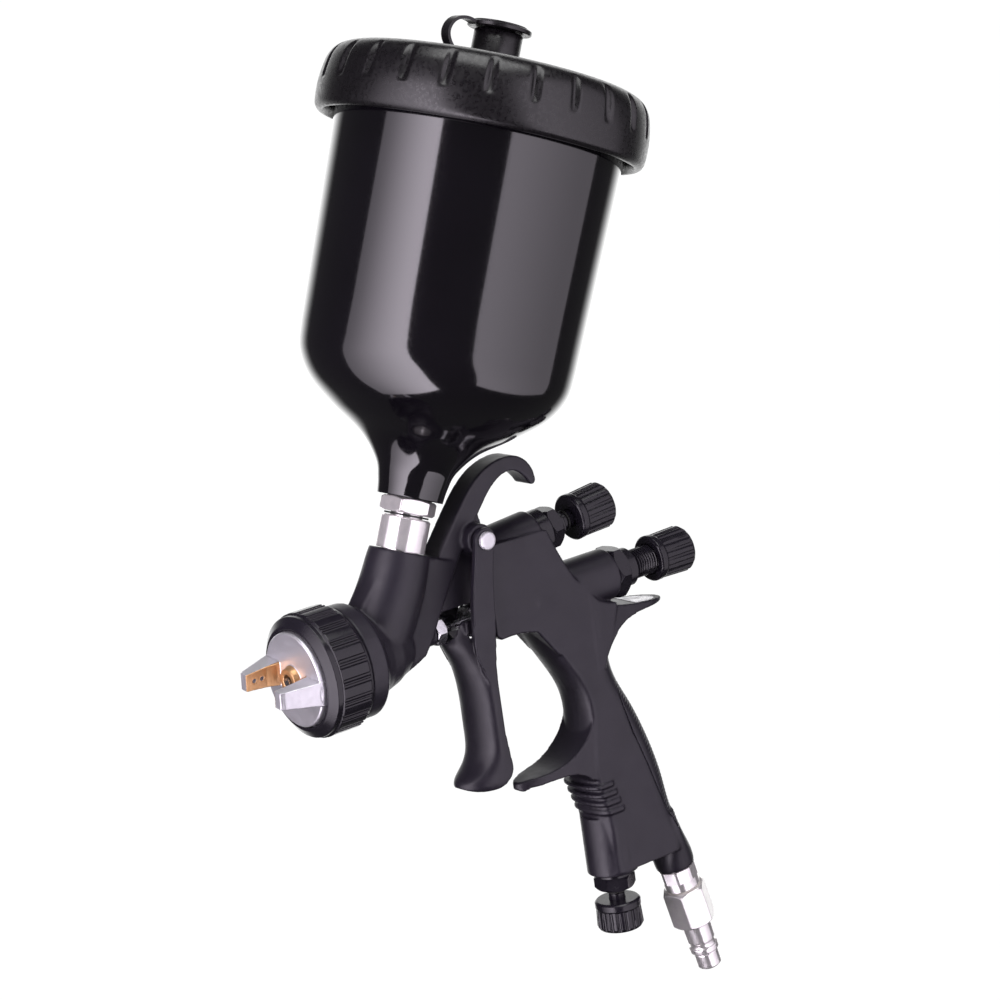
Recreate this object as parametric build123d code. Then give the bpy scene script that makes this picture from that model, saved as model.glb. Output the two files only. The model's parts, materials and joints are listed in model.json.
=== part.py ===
"""Gravity-feed spray gun with a 600 ml paint cup, built as separate pieces.

Working axes: the spray axis runs along X with the spray leaving towards -X, Y is
the gun's width and Z is up. The pieces are drawn about the front centre of the air
cap and moved at the end, so that the origin is on the nose of the air inlet plug.
"""
import os
from math import cos, radians, sin

from build123d import *

# ---- driving dimensions, millimetres and degrees ----
FIT = 0.05                  # radial gap between turned pieces that stay together
RUN = 0.3                   # gap between pieces that move past each other

CUP_LEAN = 23.6             # cup axis, leaning back from vertical
CUP_SEAT = (51.5, 38.3)     # x, z of the cup axis at the top of the inlet collar
CUP_RADIUS = 50.0           # outside, at the rim
CUP_WALL = 2.0
CUP_HEIGHT = 152.0          # rim, measured along the cup axis from the seat
LID_RADIUS = 56.5
LID_BOTTOM = 133.0
LID_TOP = 157.5
LID_FLUTES = 24
FLUTE_PHASE = 9.2           # first flute, turned from the gun's width
SPOUT_RADIUS = 8.35
SPOUT_BORE = 5.6
SPOUT_TOP = 170.3

RING_RADIUS = 21.6          # air cap ring nut
RING_GRIPS = 20
CAP_RADIUS = 16.3           # visible disc of the air cap
CAP_TURN = 9.5              # the air cap's horns, turned from level
SPIGOT_RADIUS = 17.9        # front of the casting, inside the ring nut
FLANGE_RADIUS = 19.9

BODY_HALF = 9.0             # half width of the rear body and the handle's top
PLATE_HALF = 4.7            # half width of the hook plate
WEB_HALF = 3.0
FAIRING_FRONT = 9.7         # half width of the neck's fairing at the cup axis
FAIRING_REACH = 23.0        # where the fairing meets the plate, behind the cup axis

PIVOT = (76.0, 29.0)        # x, z of the trigger pivot
PIN_RADIUS = 2.5
ARM_INNER = 9.35            # trigger arms, distance from the middle plane
ARM_OUTER = 11.8
FINGER_HALF = 9.9           # half width of the trigger's finger part
HOOD_HALF = 9.6             # half width of the trigger's hood around the needle
PAD_RADIUS = 2.2            # pads of the trigger that push the valve stem

NEEDLE_RADIUS = 1.6
NEEDLE_TAIL = 144.0
STEM_RADIUS = 3.0
CHAMBER_RADIUS = 7.2        # spring chamber in the rear tube
REAR_TUBE_RADIUS = 9.2
REAR_TUBE_END = 133.0

FAN_TILT = 4.5              # fan control axis, rising to the rear
FAN_SEAT = (99.0, 22.0)     # x, z of the fan control axis at the housing's end
FAN_HOUSING_RADIUS = 8.9
KNOB_RADIUS = 8.3
KNOB_FLUTES = 18

AIR_VALVE_X = 118.7         # air control valve, pointing down
AIR_VALVE_TOP = -106.3
AIR_BOSS_RADIUS = 9.3

INLET_TILT = 13.1           # inlet axis, going down and back
INLET_SEAT = (147.2, -115.8)
PLUG_END = 41.0             # plug's end, along the inlet axis from the seat
NOSE_RADIUS = 4.5
NOSE_LENGTH = 5.4
PLUG_CHAMFER = 0.6


def axis_at(x, z, direction_x, direction_z):
    """Place whose local Z runs from (x, 0, z) along the given direction."""
    plane = Plane(origin=(x, 0, z), x_dir=(0, 1, 0), z_dir=(direction_x, 0, direction_z))
    return plane.location


NEEDLE_AXIS = axis_at(0, 0, 1, 0)
CUP_AXIS = axis_at(*CUP_SEAT, sin(radians(CUP_LEAN)), cos(radians(CUP_LEAN)))
FAN_AXIS = axis_at(*FAN_SEAT, cos(radians(FAN_TILT)), sin(radians(FAN_TILT)))
AIR_VALVE_AXIS = axis_at(AIR_VALVE_X, AIR_VALVE_TOP, 0, -1)
INLET_AXIS = axis_at(*INLET_SEAT, sin(radians(INLET_TILT)), -cos(radians(INLET_TILT)))

# the origin lies on the inlet axis, at the middle of the plug's nose
ORIGIN_DEPTH = PLUG_END - PLUG_CHAMFER - NOSE_LENGTH / 2
ORIGIN_X = INLET_SEAT[0] + ORIGIN_DEPTH * sin(radians(INLET_TILT))
ORIGIN_Z = INLET_SEAT[1] - ORIGIN_DEPTH * cos(radians(INLET_TILT))


# ---- shape helpers ----
def turned(outline):
    """Solid turned about local Z, from (height, radius) points."""
    points = [(radius, height) for height, radius in outline]
    start = (0, points[0][1])
    end = (0, points[-1][1])
    face = make_face(Polyline(start, *points, end, close=True))
    return revolve(Plane.XZ * face, Axis.Z)


def rod(radius, low, high):
    """Plain cylinder about local Z between two heights."""
    return Pos(0, 0, low) * extrude(Circle(radius), high - low)


def tube(outer, inner, low, high):
    return rod(outer, low, high) - rod(inner, low - 1, high + 1)


def hex_nut(across_flats, low, high, chamfer=0.9):
    """Hexagonal prism about local Z with its corners turned down at both ends."""
    flat = across_flats / 2
    corner = flat / cos(radians(30))
    prism = Pos(0, 0, low) * extrude(RegularPolygon(flat, 6, major_radius=False), high - low)
    blank = turned([(low, flat), (low + chamfer, corner + 0.1),
                    (high - chamfer, corner + 0.1), (high, flat)])
    return prism & blank


def side_slab(face, half):
    """Extrude an outline drawn in X and Z, to both sides of the middle plane."""
    return extrude(Plane.XZ * face, amount=half, both=True)


def polygon(*points):
    return make_face(Polyline(*points, close=True))


def spring(radius, wire, low, high, turns):
    """Compression spring about local Z, with its wire inside low and high."""
    inset = wire / 2 + 0.05
    length = high - low - 2 * inset
    path = Pos(0, 0, low + inset) * Helix(length / turns, length, radius)
    profile = Plane(path @ 0, z_dir=path % 0) * Circle(wire / 2)
    return sweep(profile, path=path)


def o_ring(radius, wire, height):
    return Pos(0, 0, height) * Torus(radius, wire / 2)


def thread_grooves(radius, depth, low, high, pitch):
    """Row of V grooves that are cut from a shank to show its thread."""
    count = int((high - low) / pitch)
    half = pitch * 0.36
    grooves = Part()
    for index in range(count):
        middle = low + (index + 0.5) * pitch
        band = rod(radius + 0.2, middle - half, middle + half)
        grooves += band - turned([(middle - half, radius), (middle, radius - depth),
                                  (middle + half, radius)])
    return grooves


def grip_knob(low, high, cavity_radius, cavity_depth):
    """Control knob about local Z: smooth collar at low, fluted skirt to high."""
    collar = 3.0
    skirt = turned([(low, KNOB_RADIUS - 0.7), (low + 0.7, KNOB_RADIUS), (low + collar - 0.4, KNOB_RADIUS),
                    (low + collar, KNOB_RADIUS - 0.25), (high - 1.6, KNOB_RADIUS + 0.1),
                    (high - 0.5, KNOB_RADIUS - 0.6), (high, KNOB_RADIUS - 1.8)])
    skirt -= rod(cavity_radius, low - 1, low + cavity_depth)
    flute = Pos(KNOB_RADIUS + 0.1, 0, low + collar) * extrude(Circle(0.75), high - low - collar + 1)
    return skirt - PolarLocations(0, KNOB_FLUTES) * flute


# ---- the casting: head, hook, rear body and handle ----
# heights with the section's front, front corner, back corner, back and half width
HANDLE_SECTIONS = [
    (-6, 91.5, 95.0, 118.0, 126.5, 9.0),
    (-15, 97.6, 101.0, 119.0, 127.6, 9.0),
    (-25, 103.4, 106.9, 118.4, 127.0, 9.0),
    (-35, 108.7, 112.2, 119.9, 128.4, 9.0),
    (-45, 110.5, 114.0, 124.4, 133.0, 9.0),
    (-55, 109.2, 112.8, 128.3, 137.2, 9.1),
    (-66, 108.6, 112.2, 131.8, 140.8, 9.2),
    (-78, 110.4, 114.2, 134.4, 143.5, 9.4),
    (-91, 111.4, 116.0, 137.0, 146.0, 9.5),
    (-105, 110.9, 117.0, 139.8, 148.6, 9.6),
]


def handle_section(height, front, front_corner, back_corner, back, half):
    """Closed outline of the handle at one height: flat sides, rounded front and back."""
    near = Line((front_corner, -half), (back_corner, -half))
    rear = EllipticalCenterArc((back_corner, 0), back - back_corner, half, start_angle=-90, arc_size=180)
    far = Line((back_corner, half), (front_corner, half))
    nose = EllipticalCenterArc((front_corner, 0), front_corner - front, half, start_angle=90, arc_size=180)
    return Pos(0, 0, height) * make_face(Wire([near, rear, far, nose]))


def handle_blank():
    sections = [handle_section(*row) for row in HANDLE_SECTIONS]
    front_boss = rod(AIR_BOSS_RADIUS, 0, 22)
    return loft(sections) + AIR_VALVE_AXIS * Pos(0, 0, -22) * front_boss + inlet_boss()


def inlet_boss():
    """Foot of the handle around the inlet, from the handle's width down to a round end."""
    buried = Pos(0, 0, -26) * Ellipse(9.0, 4.0)
    waist = Pos(0, 0, -14) * Ellipse(8.9, 5.4)
    rim = Pos(0, 0, -8) * Ellipse(8.0, 6.9)
    end = Pos(0, 0, -2.6) * Circle(7.1)
    tip = turned([(-2.7, 7.1), (-2.6, 7.1), (-2.0, 6.6)])
    return INLET_AXIS * (loft([buried, waist, rim, end]) + tip)


def seam_cutter():
    """Space behind the seam of the back grip."""
    seam = polygon((125.3, -37), (126.4, -45), (129.4, -57), (133.4, -69), (136.4, -79),
                   (140.4, -90), (143.5, -96.5), (160, -96.5), (160, -37))
    return side_slab(seam, 20)


def grip_ribs():
    """Raised ribs that wrap around the front of the handle under the finger rest."""
    top = -70.5
    thickness = 1.6
    spacing = 3.4
    step_back = 1.05
    ribs = Part()
    for index in range(4):
        z = top - index * spacing
        front = 107.2 + index * step_back
        section = handle_section(0, front - 0.3, front + 4.0, 120, 125, 10.4)
        rib = Pos(0, 0, z) * extrude(section, -thickness)
        keep = Pos(front + 3.0, 0, z) * Box(13, 40, 10)
        ribs += rib & keep
    return ribs


def finger_rest():
    """Hooked rest in front of the handle, dished on top and rounded in plan."""
    side = make_face(Wire([
        Spline((81.8, -61.9), (90, -61.0), (98.5, -59.5), (105, -56.2), (110, -51.5), (113.5, -44.0)),
        Line((113.5, -44.0), (117, -44.0)),
        Line((117, -44.0), (117, -68.5)),
        Line((117, -68.5), (109, -68.5)),
        Spline((109, -68.5), (104.5, -65.0), (98, -63.9), (90, -64.2), (85, -64.4)),
        ThreePointArc((85, -64.4), (81.3, -63.6), (81.8, -61.9)),
    ]))
    plan = make_face(Wire([
        Spline((119, -8.8), (106, -8.4), (96, -7.2), (86.5, -4.9), (81.2, 0),
               (86.5, 4.9), (96, 7.2), (106, 8.4), (119, 8.8)),
        Line((119, 8.8), (119, -8.8)),
    ]))
    return side_slab(side, 12) & (Pos(0, 0, -80) * extrude(plan, 50))


def thumb_horn():
    """Tail above the web of the hand, dished on top and tapering to a tip."""
    side = make_face(Wire([
        Spline((118, -1.5), (124, -7.0), (131, -9.8), (143, -12.2), (155.2, -13.9)),
        Line((155.2, -13.9), (155.2, -15.0)),
        Spline((155.2, -15.0), (147, -14.9), (139, -15.2), (131.5, -17.4), (126.5, -21.5), (121, -30)),
        Line((121, -30), (118, -30)),
        Line((118, -30), (118, -1.5)),
    ]))
    plan = make_face(Wire([
        Spline((116, -9.0), (126, -8.9), (133, -8.2), (143, -7.2), (151.5, -4.6), (155.4, 0),
               (151.5, 4.6), (143, 7.2), (133, 8.2), (126, 8.9), (116, 9.0)),
        Line((116, 9.0), (116, -9.0)),
    ]))
    return side_slab(side, 12) & (Pos(0, 0, -40) * extrude(plan, 50))


def hook_plate():
    """Plate that carries the neck, runs up past the cup and curls into the hanging hook."""
    outline = make_face(Wire([
        Line((24, 14), (40, 33)),
        Line((40, 33), (57.4, 27.4)),
        Line((57.4, 27.4), (61.6, 28.2)),
        Spline((61.6, 28.2), (67, 34.7), (73, 41.7), (81, 49.0), (87, 51.9), (93, 53.0),
               (99, 52.1), (103.2, 48.8), (105.4, 41.9)),
        ThreePointArc((105.4, 41.9), (104.2, 40.8), (103.0, 41.2)),
        Spline((103.0, 41.2), (101, 44.2), (97, 47.3), (93, 47.6), (89, 46.0), (84, 41.8), (80.4, 37.6)),
        Line((80.4, 37.6), (72.9, 29.3)),
        Line((72.9, 29.3), (63.9, 15.8)),
        Line((63.9, 15.8), (57.9, 6.8)),
        Spline((57.9, 6.8), (53.6, -0.6), (49.4, -5.6), (42.9, -8.6), (34.6, -12.2)),
        Line((34.6, -12.2), (29.5, -8.5)),
        Line((29.5, -8.5), (24, 14)),
    ]))
    web = polygon((56.5, 6.7), (63, 15), (72.5, 29.3), (80.0, 38.0), (81.6, 31.0), (82, 6.7))
    return side_slab(outline, PLATE_HALF) + side_slab(web, WEB_HALF)


# heights down the cup axis with the neck's forward shift and radius
NECK_SECTIONS = [
    (-7.6, 0.0, 10.4),
    (-14, 0.3, 11.0),
    (-22, 0.9, 11.5),
    (-31, 2.4, 12.0),
    (-40, 4.0, 11.8),
    (-46, 4.6, 10.2),
]


def neck_blank():
    """Neck under the cup, leaning forward as it goes down into the head."""
    circles = [Pos(0, forward, height) * Circle(radius) for height, forward, radius in NECK_SECTIONS]
    return loft(circles)


def neck_fairing():
    """Wedge that carries the neck's sides back into the hook plate."""
    buried = PLATE_HALF - 0.5
    plan = polygon((-FAIRING_FRONT, 2.0), (-buried, -FAIRING_REACH), (buried, -FAIRING_REACH),
                   (FAIRING_FRONT, 2.0))
    wedge = CUP_AXIS * Pos(0, 0, -52) * extrude(plan, 44.2)
    side = polygon((32, 12), (40, 31), (57.4, 27.0), (61.0, 27.2), (71.6, 28.6), (63.3, 15.8),
                   (57.3, 6.8), (53.0, -0.6), (48.8, -5.4), (34, -8))
    return wedge & side_slab(side, 12)


def head_blank():
    """Front flange, bell behind it, and the neck that carries the cup."""
    bell = turned([(10.0, SPIGOT_RADIUS), (17.5, SPIGOT_RADIUS), (17.6, FLANGE_RADIUS),
                   (23.8, FLANGE_RADIUS), (24.8, 18.8), (27, 16), (31, 13.9), (36, 12.4), (42, 9.4),
                   (45, 6.0)])
    packing_boss = rod(4.2, 48, 56.0)
    return NEEDLE_AXIS * (bell + packing_boss) + CUP_AXIS * neck_blank() + neck_fairing()


def rear_body_blank():
    """Block behind the trigger with the fan housing and the rear tube."""
    block = make_face(Wire([
        Line((77, -6.0), (77, 26)),
        Line((77, 26), (104, 25)),
        Spline((104, 25), (107.2, 17), (111, 9), (116.2, 0.8), (122, -5.2), (130, -8.4)),
        Line((130, -8.4), (126, -20)),
        Line((126, -20), (102, -20)),
        Line((102, -20), (94.5, -9.6)),
        Spline((94.5, -9.6), (89.5, -8.2), (78.8, -7.8)),
        Line((78.8, -7.8), (77, -6.0)),
    ]))
    housing = turned([(-20, 5.5), (-17, 8.2), (-13.5, FAN_HOUSING_RADIUS), (3.4, FAN_HOUSING_RADIUS),
                      (4, FAN_HOUSING_RADIUS - 0.5)])
    pivot_boss = Pos(PIVOT[0], 0, PIVOT[1]) * Rot(90, 0, 0) * Cylinder(5.3, 2 * BODY_HALF)
    rear_tube = rod(REAR_TUBE_RADIUS, 96, REAR_TUBE_END)
    return side_slab(block, BODY_HALF) + FAN_AXIS * housing + pivot_boss + NEEDLE_AXIS * rear_tube


def body_bores():
    """Passages, threads and seats inside the casting."""
    nozzle_seat = turned([(9.0, 15.2), (11.5, 15.2), (11.6, 6.2), (31.0, 6.2), (34.5, 2.2),
                          (42.0, 2.2), (42.1, 3.3), (58.0, 3.3)])
    air_groove = tube(15.2, 9.0, 11.4, 15.5)
    fluid_way = rod(5.2, -37, -6)
    collar_seat = rod(6.5 + FIT, -18, -6)
    valve_way = turned([(76, 6.3), (81.0, 6.3), (81.1, 5.9), (90.0, 5.9), (90.1, CHAMBER_RADIUS),
                        (REAR_TUBE_END + 1, CHAMBER_RADIUS)])
    fan_way = turned([(-17.0, 2.5), (-14.0, 2.5), (-13.9, 6.2), (4.0, 6.2), (4.05, 8.2), (16.0, 8.2)])
    pivot_bore = Pos(PIVOT[0], 0, PIVOT[1]) * Rot(90, 0, 0) * Cylinder(PIN_RADIUS + FIT, 3 * BODY_HALF)
    air_way = turned([(-1, 6.2), (20, 6.2), (20.1, 3.4), (30, 3.4), (31, 2.0)])
    inlet_way = rod(6.1, -17, 0)
    cross_way = side_way((118.7, -94), (143.6, -100.5), 2.8)
    handle_way = side_way((118.7, -78), (118.7, -38), 2.9) + side_way((118.7, -40), (104.0, -2), 3.3)
    return (NEEDLE_AXIS * (nozzle_seat + air_groove + valve_way) + CUP_AXIS * (fluid_way + collar_seat)
            + FAN_AXIS * fan_way + pivot_bore + AIR_VALVE_AXIS * Rot(180, 0, 0) * air_way
            + INLET_AXIS * inlet_way + cross_way + handle_way)


def side_way(start, end, radius):
    """Drilled passage between two points of the middle plane."""
    reach_x = end[0] - start[0]
    reach_z = end[1] - start[1]
    length = (reach_x ** 2 + reach_z ** 2) ** 0.5
    return axis_at(start[0], start[1], reach_x, reach_z) * rod(radius, 0, length)


def make_casting():
    blank = head_blank() + hook_plate() + rear_body_blank()
    blank += handle_blank() - seam_cutter()
    blank += finger_rest() + thumb_horn() + grip_ribs()
    collar_room = CUP_AXIS * rod(30, -7.5, 12)
    collar_room &= side_slab(polygon((20, 10), (58.2, 20), (66.5, 40), (20, 70)), 30)
    badge_seat = badge_slab(0.5)
    groove = Pos(128.6, 0, -102) * Box(2.0, 40, 14)
    groove -= Pos(128.6, 0, -102) * Box(3.0, 2 * 9.4, 16)
    return blank - collar_room - body_bores() - badge_seat - groove


def badge_slab(sink):
    """Thin plate let into the top of the tail."""
    side = make_face(Wire([
        Spline((138, -11.2 - sink), (145, -12.5 - sink), (152.8, -13.5 - sink)),
        Line((152.8, -13.5 - sink), (152.8, -8)),
        Line((152.8, -8), (138, -8)),
        Line((138, -8), (138, -11.2 - sink)),
    ]))
    plan = make_face(Wire([
        Spline((140, -6.0), (144.5, -5.3), (149.5, -3.6), (152.4, 0), (149.5, 3.6), (144.5, 5.3),
               (140, 6.0)),
        Line((140, 6.0), (140, -6.0)),
    ]))
    return side_slab(side, 12) & (Pos(0, 0, -40) * extrude(plan, 40))


def make_tail_plate():
    top = side_slab(make_face(Wire([
        Spline((130, -9.5), (143, -12.2), (155, -13.8)),
        Line((155, -13.8), (155, -20)),
        Line((155, -20), (130, -20)),
        Line((130, -20), (130, -9.5)),
    ])), 12)
    return badge_slab(0.5) & top


def make_back_grip():
    return handle_blank() & seam_cutter()


# ---- spray head ----
def make_fluid_nozzle():
    outside = turned([(-3.6, 1.5), (0.0, 1.9), (2.0, 3.6), (5.2, 5.2), (5.3, 5.9), (6.2, 5.9),
                      (6.3, 6.2 - FIT), (30.5, 6.2 - FIT)])
    nut = hex_nut(13, 6.9, 11.3, 0.6)
    inside = turned([(-5, 0.75), (-2.6, 0.75), (0.5, 1.7), (4.0, 3.2), (31, 3.2)])
    return NEEDLE_AXIS * (outside + nut - inside)


def make_air_baffle():
    ring = tube(14.9, 8.2, 9.3, 11.3)
    hole = Pos(11.6, 0, 8) * extrude(Circle(1.3), 5)
    return NEEDLE_AXIS * (ring - PolarLocations(0, 8) * hole)


def make_air_cap():
    shell = turned([(-3.3, 2.6), (-3.3, 4.4), (-1.0, 5.2), (-0.9, CAP_RADIUS - 0.5), (-0.4, CAP_RADIUS),
                    (2.3, CAP_RADIUS), (2.4, 17.5), (4.4, 17.5), (4.5, 15.6), (9.0, 15.6)])
    horn_plan = polygon((-14.1, 8.2), (-14.1, 11.4), (-12.7, 12.2), (-0.5, 15.9), (1.5, 15.9), (1.5, 7.4),
                        (-2.0, 7.4), (-6.0, 8.2))
    horn = extrude(horn_plan, amount=5, both=True)
    cavity = turned([(-4, 2.45), (-0.5, 2.45), (0.6, 6.4), (0.7, 14.3), (10, 14.3)])
    hole = Rot(90, 0, 0) * Cylinder(0.75, 21.6)
    holes = Pos(-10.9, 0, 0) * hole + Pos(-7.8, 0, 0) * hole
    taper = polygon((-15, -2.9), (-15, 2.9), (2, 4.4), (2, -4.4))
    horns = (horn + mirror(horn, Plane.XZ)) & side_slab(taper, 20)
    return Rot(CAP_TURN, 0, 0) * (NEEDLE_AXIS * (shell - cavity) + horns - holes)


def make_cap_clip():
    ring = tube(18.45, 16.1, 4.8, 5.6)
    gap = Pos(0, 17, 5.2) * Box(5, 8, 4)
    return NEEDLE_AXIS * (ring - gap)


def make_cap_ring():
    outside = turned([(0.9, CAP_RADIUS + RUN), (0.4, 17.3), (0.4, 17.9), (2.6, 20.9), (4.6, 20.9),
                      (4.7, RING_RADIUS), (15.7, RING_RADIUS), (15.8, 20.8), (17.2, 20.5)])
    inside = turned([(-2, CAP_RADIUS + RUN), (2.0, CAP_RADIUS + RUN), (2.1, 17.8), (4.5, 17.8), (4.6, 18.8),
                     (5.9, 18.8), (6.0, SPIGOT_RADIUS + RUN), (19, SPIGOT_RADIUS + RUN)])
    groove = Pos(RING_RADIUS + 0.1, 0, 11.5) * Box(1.9, 1.2, 13.6)
    step = 360 / RING_GRIPS
    pair = Rot(0, 0, step * 0.14) * groove + Rot(0, 0, -step * 0.14) * groove
    return NEEDLE_AXIS * (outside - inside - PolarLocations(0, RING_GRIPS) * pair)


# ---- needle, packing and air valve ----
def make_packing_nut():
    shank = rod(3.3 - FIT, 47.5, 56.2)
    head = hex_nut(8.6, 56.2, 60.0, 0.6)
    return NEEDLE_AXIS * (shank + head - rod(NEEDLE_RADIUS + 0.1, 46, 63))


def make_needle_packing():
    return NEEDLE_AXIS * tube(3.3 - FIT, NEEDLE_RADIUS + 0.02, 42.6, 47.3)


def make_needle():
    shape = turned([(-3.4, 0.35), (1.6, NEEDLE_RADIUS), (NEEDLE_TAIL - 0.6, NEEDLE_RADIUS),
                    (NEEDLE_TAIL, NEEDLE_RADIUS - 0.6)])
    return NEEDLE_AXIS * shape


def make_needle_collar():
    collar = turned([(98.6, 3.4), (99.2, 4.2), (103.2, 4.2), (103.3, 2.6), (106, 2.6)])
    return NEEDLE_AXIS * (collar - rod(NEEDLE_RADIUS + 0.02, 97, 108))


def make_valve_guide():
    guide = turned([(81.3, 5.9 - FIT), (90.0, 5.9 - FIT), (90.1, CHAMBER_RADIUS - FIT),
                    (91.2, CHAMBER_RADIUS - FIT), (91.6, 5.6)])
    return NEEDLE_AXIS * (guide - rod(STEM_RADIUS + 0.08, 80, 93))


def make_valve_stem():
    stem = turned([(71.0, 5.0), (71.5, 5.6), (72.6, 5.6), (72.7, STEM_RADIUS), (92.0, STEM_RADIUS),
                   (92.1, 5.8), (93.6, 6.4), (95.0, 6.4), (95.1, 4.4), (96.6, 4.4)])
    return NEEDLE_AXIS * (stem - rod(NEEDLE_RADIUS + 0.08, 70, 98))


def make_valve_spring():
    return NEEDLE_AXIS * spring(5.7, 0.9, 95.3, 119.6, 8)


def make_needle_spring():
    return NEEDLE_AXIS * spring(3.4, 0.8, 103.5, 139.8, 14)


def make_fluid_guide():
    """Hexagonal sleeve that closes the rear tube and carries the fluid knob's thread."""
    nose = rod(CHAMBER_RADIUS - FIT, 120, REAR_TUBE_END + 0.1)
    shoulder = hex_nut(17, REAR_TUBE_END + 0.05, 138.4, 1.4)
    neck = turned([(138.4, 6.9), (142.6, 6.9), (143.3, 6.2), (143.4, 5.3), (157.4, 5.3), (158, 4.8)])
    bore = rod(4.4, 119, 140) + rod(3.0, 139, 160)
    thread = thread_grooves(5.3, 0.55, 143.8, 157.0, 1.1)
    return NEEDLE_AXIS * (nose + shoulder + neck - bore - thread)


def make_fluid_knob():
    return NEEDLE_AXIS * grip_knob(152.8, 169.0, 5.3 + RUN, 12.0)


def make_fluid_knob_ring():
    """Seal ring inside the mouth of the fluid knob."""
    return NEEDLE_AXIS * tube(5.5, 5.36, 153.6, 154.6)


# ---- fan control ----
def make_fan_sleeve():
    outside = rod(6.2 - FIT, -13.5, 4.1) + turned([(4.1, 7.9), (8.6, 7.9), (9.4, 7.2)])
    outside += hex_nut(13.5, 9.3, 14.2, 1.2) + turned([(14.2, 4.9), (16.2, 4.9), (16.7, 4.4)])
    return FAN_AXIS * (outside - rod(3.2 + 0.08, -15, 18))


def make_fan_knob():
    return FAN_AXIS * grip_knob(21.6, 37.4, 3.2 + FIT, 10)


def make_fan_spindle():
    spindle = turned([(-12.5, 1.2), (-10.0, 3.2), (31.4, 3.2)])
    groove = tube(4, 2.5, 18.6, 20.0)
    return FAN_AXIS * (spindle - groove)


def make_fan_seal():
    return FAN_AXIS * o_ring(3.2 - 0.05, 0.9, 19.3)


# ---- air control under the handle ----
def make_air_sleeve():
    outside = rod(6.2 - FIT, -19.5, 0) + rod(7.0, 0, 1.4) + hex_nut(13, 1.4, 6.4, 1.0)
    return AIR_VALVE_AXIS * (outside - rod(2.9 + 0.08, -21, 8))


def make_air_spindle():
    spindle = turned([(-18.5, 1.2), (-16.0, 2.9), (18.0, 2.9)])
    groove = tube(4, 2.2, 7.4, 8.6)
    return AIR_VALVE_AXIS * (spindle - groove)


def make_air_seal():
    return AIR_VALVE_AXIS * o_ring(2.85, 0.9, 8.0)


def make_air_knob():
    return AIR_VALVE_AXIS * grip_knob(10.9, 22.0, 2.9 + FIT, 7.2)


# ---- air inlet ----
def make_inlet_adapter():
    shank = rod(6.1 - FIT, -14.0, -1.9)
    collar = turned([(-1.9, 6.9), (3.0, 6.9), (3.2, 6.6), (6.2, 6.6)])
    facets = Pos(0, 0, -1.9) * extrude(RegularPolygon(6.6, 8, major_radius=False), 4.9)
    collar = collar & (facets + rod(6.6, 2.9, 6.3))
    return INLET_AXIS * (shank + collar - rod(4.6, -16, 8))


def make_inlet_washer():
    return INLET_AXIS * tube(6.4, 4.6, 6.25, 6.95)


def make_inlet_plug():
    nut = Rot(0, 0, 48) * hex_nut(14.6, 7.0, 21.8, 1.1)
    nose = turned([(21.8, 5.4), (29.6, 5.2), (30.2, 4.8), (31.6, 4.8), (32.2, 5.4), (34.0, 5.4),
                   (34.8, 4.1), (35.0, 4.1), (35.0, NOSE_RADIUS), (PLUG_END - PLUG_CHAMFER, NOSE_RADIUS),
                   (PLUG_END, NOSE_RADIUS - PLUG_CHAMFER)])
    spigot = rod(4.6 - FIT, 0.0, 7.1)
    washer_room = tube(8, 4.6, 6.0, 7.0)
    return INLET_AXIS * (nut + nose + spigot - washer_room - rod(3.2, -1, PLUG_END + 1))


# ---- trigger ----
def finger_section(height, front, half):
    """Outline of the trigger's finger part at one height: round front, straight sides."""
    middle = 72.2
    rear = 75.8
    nose = EllipticalCenterArc((middle, 0), middle - front, half, start_angle=90, arc_size=180)
    near = Line((middle, -half), (rear, -half))
    back = Line((rear, -half), (rear, half))
    far = Line((rear, half), (middle, half))
    return Pos(0, 0, height) * make_face(Wire([nose, near, back, far]))


def trigger_blank():
    """Finger part of the trigger, solid, from the lip at the bottom to the yoke."""
    sections = [(-60.0, 62.0), (-56.6, 57.6), (-54.6, 58.2), (-51.0, 62.6), (-46.5, 66.0), (-40.0, 66.8),
                (-24.0, 66.6), (-17.0, 65.2), (-12.0, 63.4), (-8.0, 61.5), (-5.2, 60.7), (1.6, 63.4)]
    halves = [7.6, 9.6, 9.9, FINGER_HALF, FINGER_HALF, FINGER_HALF, FINGER_HALF, FINGER_HALF, FINGER_HALF,
              FINGER_HALF, HOOD_HALF, HOOD_HALF]
    faces = [finger_section(height, front, half) for (height, front), half in zip(sections, halves)]
    side = make_face(Wire([
        Line((50, 1.5), (50, -56.4)),
        Line((50, -56.4), (57.6, -56.4)),
        Spline((57.6, -56.4), (62, -58.2), (66, -58.7), (70, -58.4), (74.0, -55.6), (75.2, -50)),
        Line((75.2, -50), (74.2, -40)),
        Line((74.2, -40), (74.2, -14)),
        Line((74.2, -14), (75.6, 1.5)),
        Line((75.6, 1.5), (50, 1.5)),
    ]))
    return loft(faces) & side_slab(side, ARM_OUTER + 1)


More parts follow.
